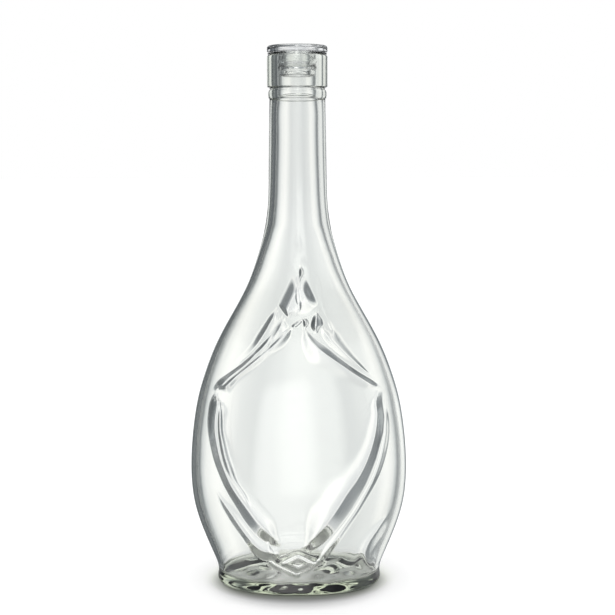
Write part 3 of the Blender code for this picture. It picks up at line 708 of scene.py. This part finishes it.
def moulded_waves():
    """Group: broad noise, out as a height, and the peaks of a fine noise, out as a mask."""
    group = bpy.data.node_groups.new("moulded waves", "ShaderNodeTree")
    face = group.interface
    face.new_socket("Vector", in_out="INPUT", socket_type="NodeSocketVector")
    face.new_socket("Wave Scale", in_out="INPUT", socket_type="NodeSocketFloat")
    face.new_socket("Height", in_out="OUTPUT", socket_type="NodeSocketFloat")
    face.new_socket("Handling", in_out="OUTPUT", socket_type="NodeSocketFloat")
    source = add_node(group, "NodeGroupInput", (-600, 0))
    result = add_node(group, "NodeGroupOutput", (400, 0))
    broad = add_node(group, "ShaderNodeTexNoise", (-300, 150), in_Detail=1.0)
    marks = add_node(group, "ShaderNodeTexNoise", (-300, -150), in_Scale=260.0, in_Detail=4.0)
    spread = add_node(group, "ShaderNodeMapRange", (0, -150), in_From_Min=0.55, in_From_Max=0.8)
    link = group.links.new
    link(source.outputs["Vector"], broad.inputs["Vector"])
    link(source.outputs["Wave Scale"], broad.inputs["Scale"])
    link(source.outputs["Vector"], marks.inputs["Vector"])
    link(marks.outputs["Fac"], spread.inputs["Value"])
    link(broad.outputs["Fac"], result.inputs["Height"])
    link(spread.outputs["Result"], result.inputs["Handling"])
    return group


waves = moulded_waves()
print("shared node group:", waves.name)


def glass_material(name, tint, ior, wave_scale, wave_height, volume, density):
    """Clear glass: full transmission, volume absorption, and the shared waves as a bump."""
    material = bpy.data.materials.new(name)
    material.use_nodes = True
    tree = material.node_tree
    shader = tree.nodes["Principled BSDF"]
    shader.inputs["Base Color"].default_value = (*tint, 1.0)
    shader.inputs["Metallic"].default_value = 0.0
    shader.inputs["Transmission Weight"].default_value = 1.0
    shader.inputs["IOR"].default_value = ior
    where = add_node(tree, "ShaderNodeTexCoord", (-900, 0))
    group = add_node(tree, "ShaderNodeGroup", (-700, 0), node_tree=waves)
    group.inputs["Wave Scale"].default_value = wave_scale
    rough = add_node(tree, "ShaderNodeMapRange", (-400, 100), in_To_Min=0.0, in_To_Max=0.002)
    bump = add_node(tree, "ShaderNodeBump", (-400, -200), in_Strength=1.0,
                    in_Distance=wave_height)
    tree.links.new(where.outputs["Object"], group.inputs["Vector"])
    tree.links.new(group.outputs["Handling"], rough.inputs["Value"])
    tree.links.new(rough.outputs["Result"], shader.inputs["Roughness"])
    tree.links.new(group.outputs["Height"], bump.inputs["Height"])
    tree.links.new(bump.outputs["Normal"], shader.inputs["Normal"])
    body = add_node(tree, "ShaderNodeVolumeAbsorption", (0, -400), in_Density=density)
    body.inputs["Color"].default_value = (*volume, 1.0)
    output = tree.nodes["Material Output"]
    tree.links.new(body.outputs["Volume"], output.inputs["Volume"])
    return material


WHITE = (1.0, 1.0, 1.0)
flint_glass = glass_material("flint_glass", WHITE, ior=1.52, wave_scale=45.0,
                             wave_height=0.10 * MM, volume=(0.55, 0.65, 0.35), density=20.0)

# %% [markdown]
# The bottle is one closed surface in one glass. Its poles are the middle of the pushed-up
# underside and the middle of the floor inside.

# %% Make the bottle
points = bottle_points()
bottom = (0.0, 0.0, PUSH_UP)
floor_middle = tuple(points[-1].mean(axis=0))
add_piece("bottle_glass", grid_mesh("bottle_glass", points, bottom, floor_middle),
          "glass", "bottle", flint_glass)

# %% [markdown]
# ## Stopper and seal
# The stopper is a turned piece: a flat, hollow head that covers the band, and a shank in
# the bore, open below. A soft, clear ring round the shank makes it tight, with a flange
# between head and lip. Each is an outline of radius and height turned about the axis.

# %% Turned pieces
TURN_COLUMNS = 144
# Height of the seal's sleeve, and the width and the heights of its two lips.
SLEEVE_HEIGHT = 6.5 * MM
SEAL_LIP_WIDTH = 1.96 * MM
SEAL_LIPS = (-3.1 * MM, -5.8 * MM)


def turned(outline):
    """Grid of points (r cos a, r sin a, z), with the outline's points as rows."""
    outline = np.asarray(outline, float)
    angle = np.arange(TURN_COLUMNS) / TURN_COLUMNS * 2.0 * np.pi
    return np.stack([outline[:, :1] * np.cos(angle), outline[:, :1] * np.sin(angle),
                     outline[:, 1:] + 0.0 * angle], axis=-1)


def stopper_outline():
    """From the shank's hollow, down and round its foot, out under the head, over its edge
    to the top: radius and height over the lip, in metres."""
    under, top, tip = 1.4 * MM, 4.4 * MM, -9.6 * MM
    hollow, shank, foot, wide = 7.0 * MM, 7.6 * MM, 8.3 * MM, 10.4 * MM
    parts = [
        [(3.0 * MM, top - 0.7 * MM), (7.0 * MM, top - 0.7 * MM)],
        rounded(wide - 0.7 * MM, top - 1.4 * MM, 0.7 * MM, 90, 0),
        rounded(wide - 0.2 * MM, under + 0.8 * MM, 0.2 * MM, 0, -90, 3),
        [(8.5 * MM, under + 0.6 * MM)],
        rounded(hollow + 0.4 * MM, under + 0.2 * MM, 0.4 * MM, 90, 180, 4),
        [(hollow, -4.0 * MM)],
        rounded(hollow + 0.5 * MM, tip + 0.5 * MM, 0.5 * MM, 180, 270),
        rounded(foot - 0.7 * MM, tip + 0.7 * MM, 0.7 * MM, 270, 360),
        rounded(foot - 0.7 * MM, tip + 2.0 * MM, 0.7 * MM, 0, 90),
        [(shank, tip + 2.8 * MM), (shank, -2.0 * MM), (shank, under - 0.2 * MM)],
        [(shank + 0.2 * MM, under), (10.5 * MM, under)],
        rounded(BAND_RADIUS - 0.25 * MM, under + 0.25 * MM, 0.25 * MM, 270, 360, 3),
        rounded(BAND_RADIUS - 1.0 * MM, top - 1.0 * MM, 1.0 * MM, 0, 90, 7),
        [(9.0 * MM, top), (4.0 * MM, top)],
    ]
    outline = np.concatenate([np.asarray(part, float) for part in parts])
    return outline + np.array([0.0, LIP_HEIGHT])


def seal_outline():
    """Flange, sleeve and two lips, each the top half of a cosine wave, as a closed outline
    of radius and height."""
    inner, outer, lip = 8.0 * MM, 8.6 * MM, 9.1 * MM
    heights = np.linspace(0.0, -SLEEVE_HEIGHT, 40)
    away = np.abs(heights[:, None] - np.array(SEAL_LIPS)).min(axis=1)
    hump = np.where(away < SEAL_LIP_WIDTH / 2, np.cos(away * np.pi / SEAL_LIP_WIDTH), 0.0)
    radius = outer + (lip - outer) * hump
    parts = [
        [(inner, 1.1 * MM), (11.0 * MM, 1.1 * MM)],
        rounded(BAND_RADIUS - 0.6 * MM, 0.7 * MM, 0.4 * MM, 90, -90, 5),
        [(11.0 * MM, 0.3 * MM), (outer, 0.3 * MM)],
        np.stack([radius, heights], axis=1),
        [(inner, -SLEEVE_HEIGHT)],
    ]
    outline = np.concatenate([np.asarray(part, float) for part in parts])
    return outline[::-1] + np.array([0.0, LIP_HEIGHT])


stopper_glass = glass_material("pressed_glass", WHITE, ior=1.50, wave_scale=60.0,
                               wave_height=0.06 * MM, volume=(0.70, 0.82, 0.74), density=8.0)
soft_seal = glass_material("soft_seal", (0.97, 0.98, 0.97), ior=1.41, wave_scale=90.0,
                           wave_height=0.05 * MM, volume=(0.85, 0.88, 0.85), density=12.0)

outline = stopper_outline()
poles = [(0.0, 0.0, outline[end][1]) for end in (0, -1)]
add_piece("stopper_glass", grid_mesh("stopper_glass", turned(outline), *poles),
          "closure", "stopper", stopper_glass)
add_piece("soft_seal", grid_mesh("soft_seal", turned(seal_outline()), closed_rows=True),
          "closure", "seal_ring", soft_seal)

# %% [markdown]
# ## Floor, light and camera
# The bottle stands on a white floor before a white backdrop. What makes clear glass
# readable is not lamps but what it sees: white behind it, and darker gaps beside that white,
# which the steep edges and the folds bend into view. Floor and studio are sums of soft-edged
# shapes, so a few helpers make each such node together with its links.

# %% Node helpers
VECTOR_MATH = "ShaderNodeVectorMath"


def feed(tree, socket, value):
    """Sets a plain value on a socket, or links another socket to it."""
    if isinstance(value, (float, tuple)):
        socket.default_value = value
    else:
        tree.links.new(value, socket)


def add_math(tree, place, operation, *values, kind="ShaderNodeMath"):
    """Socket with the result of a math node."""
    node = add_node(tree, kind, place, operation=operation)
    for socket, value in zip(node.inputs, values):
        feed(tree, socket, value)
    return node.outputs["Value" if operation in ("LENGTH", "DOT_PRODUCT") else 0]


def add_mix(tree, place, factor, first, second, blend_type="MIX"):
    """Socket with a mix of two colours."""
    node = add_node(tree, "ShaderNodeMix", place, data_type="RGBA", blend_type=blend_type)
    for name, value in (("Factor", factor), ("A", first), ("B", second)):
        feed(tree, node.inputs[name], value)
    return node.outputs["Result"]


def add_ease(tree, place, value, start, full, most=1.0):
    """Socket that eases from 0 to the most as a value goes from start to full."""
    node = add_node(tree, "ShaderNodeMapRange", place, interpolation_type="SMOOTHSTEP",
                    in_From_Min=start, in_From_Max=full, in_To_Max=most)
    feed(tree, node.inputs["Value"], value)
    return node.outputs["Result"]


def add_oval(tree, where, row, shift, size, start, full, most):
    """An ease of the length of (position + shift) / size."""
    moved = add_math(tree, (-1300, row), "ADD", where, shift, kind=VECTOR_MATH)
    scaled = add_math(tree, (-1100, row), "DIVIDE", moved, size, kind=VECTOR_MATH)
    away = add_math(tree, (-900, row), "LENGTH", scaled, kind=VECTOR_MATH)
    return add_ease(tree, (-700, row), away, start, full, most)


# %% [markdown]
# The floor is plain white to the camera, with the bottle's shadow on it, partly cast and partly
# painted: its glow is held back and its colour darkened round the foot. To light that comes
# through glass it is clear, except under the foot, where it has a painted shade and painted
# light.

# %% Floor
FLOOR_HALF = 6.0
FLOOR_DROP = 0.05 * MM
FLOOR_COLOUR = (0.9, 0.9, 0.9, 1.0)
# The foot's oval, in which glass sees the floor itself, and the floor's colour and glow there:
# a greenish painted shade, and painted light that glass shows.
FOOT_SIZE = (38.0 * MM, 24.5 * MM, 1.0)
UNDER_FOOT_SHADE_COLOUR = (0.84, 0.88, 0.78, 1.0)
UNDER_FOOT_PAINTED_LIGHT = 0.14
# The soft shadow before the foot, cast and partly painted by holding back the floor's glow in
# it: shift, half sizes, and the floor's glow beyond it.
PAINTED_SHADOW_SHIFT = (0.0, 8.0 * MM, 0.0)
PAINTED_SHADOW_SIZE = (46.0 * MM, 36.0 * MM, 1.0)
FLOOR_GLOW = 0.34
# The painted contact shadow, a dark line at the foot's edge: the same, and how much of the
# floor's colour it takes.
CONTACT_PAINTED_SHADE_SHIFT = (0.0, 4.0 * MM, 0.0)
CONTACT_PAINTED_SHADE_SIZE = (35.0 * MM, 24.0 * MM, 1.0)
CONTACT_PAINTED_SHADE_DARK = 0.6
BLACK = (0.0, 0.0, 0.0, 1.0)


def floor_material():
    """Matt white, and clear to light from glass, which so shows the backdrop's white."""
    material = bpy.data.materials.new("white_floor")
    material.use_nodes = True
    tree = material.node_tree
    link = tree.links.new
    shader = tree.nodes["Principled BSDF"]
    shader.inputs["Roughness"].default_value = 0.9
    shader.inputs["Specular IOR Level"].default_value = 0.0
    shader.inputs["Emission Color"].default_value = (*WHITE, 1.0)
    where = add_node(tree, "ShaderNodeTexCoord", (-1500, 0)).outputs["Object"]
    path = add_node(tree, "ShaderNodeLightPath", (-900, 300)).outputs
    beyond = add_oval(tree, where, -300, (0.0, 0.0, 0.0), FOOT_SIZE, 1.0, 1.35, 1.0)
    # Painted shadow: the floor's glow to the camera fades out towards the foot.
    lit = add_oval(tree, where, -600, PAINTED_SHADOW_SHIFT, PAINTED_SHADOW_SIZE, 0.70, 1.04, FLOOR_GLOW)
    # Painted contact shadow: to the camera the floor's colour is mixed towards black at the
    # foot's edge.
    contact_painted_shade = add_oval(tree, where, 700, CONTACT_PAINTED_SHADE_SHIFT, CONTACT_PAINTED_SHADE_SIZE, 1.34, 1.02, CONTACT_PAINTED_SHADE_DARK)

    # Under the foot the floor has a greenish painted shade colour.
    shade = add_mix(tree, (-300, 300), beyond, UNDER_FOOT_SHADE_COLOUR, FLOOR_COLOUR)
    painted_shade_to_camera = add_math(tree, (-500, 600), "MULTIPLY", contact_painted_shade, path["Is Camera Ray"])
    link(add_mix(tree, (-150, 400), painted_shade_to_camera, shade, BLACK), shader.inputs["Base Color"])

    glow = add_math(tree, (-500, -200), "MULTIPLY", path["Is Camera Ray"], lit)
    # Painted light: the floor glows to light that comes through glass.
    under = add_math(tree, (-500, -400), "MULTIPLY", path["Is Transmission Ray"], UNDER_FOOT_PAINTED_LIGHT)
    link(add_math(tree, (-300, -300), "ADD", glow, under), shader.inputs["Emission Strength"])

    through = add_math(tree, (-700, 100), "MAXIMUM", path["Is Glossy Ray"],
                       path["Is Transmission Ray"])
    clear = add_node(tree, "ShaderNodeBsdfTransparent", (0, -300))
    both = add_node(tree, "ShaderNodeMixShader", (300, 0))
    link(add_math(tree, (-500, 0), "MULTIPLY", through, beyond), both.inputs["Fac"])
    link(shader.outputs[0], both.inputs[1])
    link(clear.outputs[0], both.inputs[2])
    link(both.outputs[0], tree.nodes["Material Output"].inputs["Surface"])
    return material


floor_mesh = bpy.data.meshes.new("floor")
floor_mesh.from_pydata([(x * FLOOR_HALF, y * FLOOR_HALF, 0.0)
                        for x, y in ((-1, -1), (1, -1), (1, 1), (-1, 1))], [], [(0, 1, 2, 3)])
floor_mesh.materials.append(floor_material())
floor = bpy.data.objects.new("floor", floor_mesh)
bpy.context.scene.collection.objects.link(floor)
floor.location.z = -FLOOR_DROP
print("floor:", 2 * FLOOR_HALF, "m wide")

# %% [markdown]
# The studio is described by how bright it is in each direction round the bottle: a white
# backdrop straight behind, a wide dark gap at its left and a narrow one at its right, a soft
# light at each side, and a window low behind the camera. One colour ramp holds that plan
# by azimuth, and another dims it between backdrop and ceiling. The camera itself sees plain
# white behind the bottle.

# %% Studio by azimuth
# Azimuth in degrees, 0 straight behind the bottle and positive to the right, and brightness.
STUDIO = [(-180, 0.9), (-166, 0.9), (-152, 0.35), (-118, 0.84), (-92, 0.62), (-78, 0.36),
          (-62, 0.10), (-46, 0.16), (-34, 0.14), (-27, 0.08), (-21, 0.20), (-16, 0.72),
          (-11, 0.94), (-7, 1.04), (-3, 0.82), (2, 0.80), (5, 0.84), (8, 1.02), (12, 0.92),
          (15, 0.66), (19, 0.24), (24, 0.16), (29, 0.42), (37, 0.84), (46, 0.92), (60, 0.82),
          (105, 0.84), (148, 0.35), (162, 0.6), (180, 0.9)]
# Sine of the elevation, and the share of that brightness: the backdrop ends, then a ceiling.
HEIGHTS = [(-1.0, 1.0), (-0.5, 1.0), (-0.12, 1.12), (-0.02, 1.0), (0.34, 1.0), (0.42, 0.35),
           (0.62, 0.35), (0.80, 1.0)]
# How much bluer, and less red, a quite dark direction is.
COOLNESS = 0.1
# The window: its level direction and light, the cosines of the angles beside it where that
# light starts and is full, and the sines of the elevations for the same.
WINDOW = (-0.156, -0.988, 0.0)
WINDOW_LIGHT = (2.2, 2.2, 2.2, 1.0)
WINDOW_SIDES = (0.94, 0.995)
WINDOW_TOP = (-0.02, -0.15)


def set_ramp(colours, stops):
    """Gives a colour ramp the stops (place, colour), eased between them."""
    colours.interpolation = "EASE"
    while len(colours.elements) < len(stops):
        colours.elements.new(0.5)
    for element, (place, _) in zip(colours.elements, stops):
        element.position = place
    for element, (_, colour) in zip(colours.elements, stops):
        element.color = (*colour, 1.0)


def studio_world():
    """Brightness by azimuth times share by elevation, the window mixed in, and white for
    what the camera and the matt floor see."""
    world = bpy.data.worlds.new("studio")
    bpy.context.scene.world = world
    world.use_nodes = True
    tree = world.node_tree
    tree.nodes.clear()
    link = tree.links.new
    where = add_node(tree, "ShaderNodeTexCoord", (-1400, 0)).outputs["Generated"]
    parts = add_node(tree, "ShaderNodeSeparateXYZ", (-1200, 0))
    azimuth = add_math(tree, (-1000, 0), "ARCTAN2", parts.outputs["X"], parts.outputs["Y"])
    turn = add_node(tree, "ShaderNodeMapRange", (-800, 0), in_From_Min=-math.pi,
                    in_From_Max=math.pi)
    plan = add_node(tree, "ShaderNodeValToRGB", (-600, 0))
    stops = []
    for degrees, light in STUDIO:
        tint = COOLNESS * (1.0 - min(light, 1.0))
        stops.append(((degrees + 180.0) / 360.0,
                      (light * (1.0 - tint), light, light * (1.0 + tint))))
    set_ramp(plan.color_ramp, stops)
    upward = add_node(tree, "ShaderNodeMapRange", (-800, -400), in_From_Min=-1.0)
    fade = add_node(tree, "ShaderNodeValToRGB", (-600, -300))
    set_ramp(fade.color_ramp, [(0.5 + 0.5 * sine, (share, share, share))
                               for sine, share in HEIGHTS])
    link(where, parts.inputs[0])
    link(azimuth, turn.inputs["Value"])
    link(turn.outputs["Result"], plan.inputs["Fac"])
    link(parts.outputs["Z"], upward.inputs["Value"])
    link(upward.outputs["Result"], fade.inputs["Fac"])
    over = add_mix(tree, (-300, 0), 1.0, plan.outputs["Color"], fade.outputs["Color"],
                   blend_type="MULTIPLY")

    flat = add_math(tree, (-1200, 500), "MULTIPLY", where, (1.0, 1.0, 0.0), kind=VECTOR_MATH)
    level = add_math(tree, (-1000, 500), "NORMALIZE", flat, kind=VECTOR_MATH)
    toward = add_math(tree, (-800, 500), "DOT_PRODUCT", level, WINDOW, kind=VECTOR_MATH)
    sides = add_ease(tree, (-600, 500), toward, *WINDOW_SIDES)
    low = add_ease(tree, (-600, 800), parts.outputs["Z"], *WINDOW_TOP)
    window = add_math(tree, (-400, 500), "MULTIPLY", sides, low)
    lit = add_mix(tree, (-150, 200), window, over, WINDOW_LIGHT)

    path = add_node(tree, "ShaderNodeLightPath", (-600, -500)).outputs
    plain = add_math(tree, (-300, -400), "MAXIMUM", path["Is Camera Ray"],
                     path["Is Diffuse Ray"])
    background = add_node(tree, "ShaderNodeBackground", (300, 0))
    output = add_node(tree, "ShaderNodeOutputWorld", (500, 0))
    link(add_mix(tree, (0, 0), plain, lit, (*WHITE, 1.0)), background.inputs["Color"])
    link(background.outputs[0], output.inputs["Surface"])


studio_world()
print("studio:", len(STUDIO), "stops by azimuth and", len(HEIGHTS), "by elevation")

# %% [markdown]
# The curves of the foot and the band in the photograph give the camera: 538 mm before the
# bottle, 214 mm up, looking down 8.4 degrees. The lens is stated in pixels of the picture.

# %% Camera
PICTURE_PIXELS = 615.0
LENS_PIXELS = 1130.0
CAMERA_PLACE = (4.7 * MM, -537.8 * MM, 214.0 * MM)
LOOKS_DOWN = 8.36
ROLL = 0.15
camera_data = bpy.data.cameras.new("camera")
camera = bpy.data.objects.new("camera", camera_data)
bpy.context.scene.collection.objects.link(camera)
camera_data.sensor_width = 36.0
camera_data.lens = LENS_PIXELS / PICTURE_PIXELS * camera_data.sensor_width
camera.location = CAMERA_PLACE
camera.rotation_euler = (math.radians(90.0 - LOOKS_DOWN), math.radians(ROLL), 0.0)
bpy.context.scene.camera = camera
bpy.context.scene.view_settings.view_transform = "Standard"
print("lens in mm:", round(camera_data.lens, 1))

# %% [markdown]
# The finished glass's box must be the imported model's box, as the relief lies inside the
# outline that the model has.

# %% Finish
bpy.context.view_layer.update()
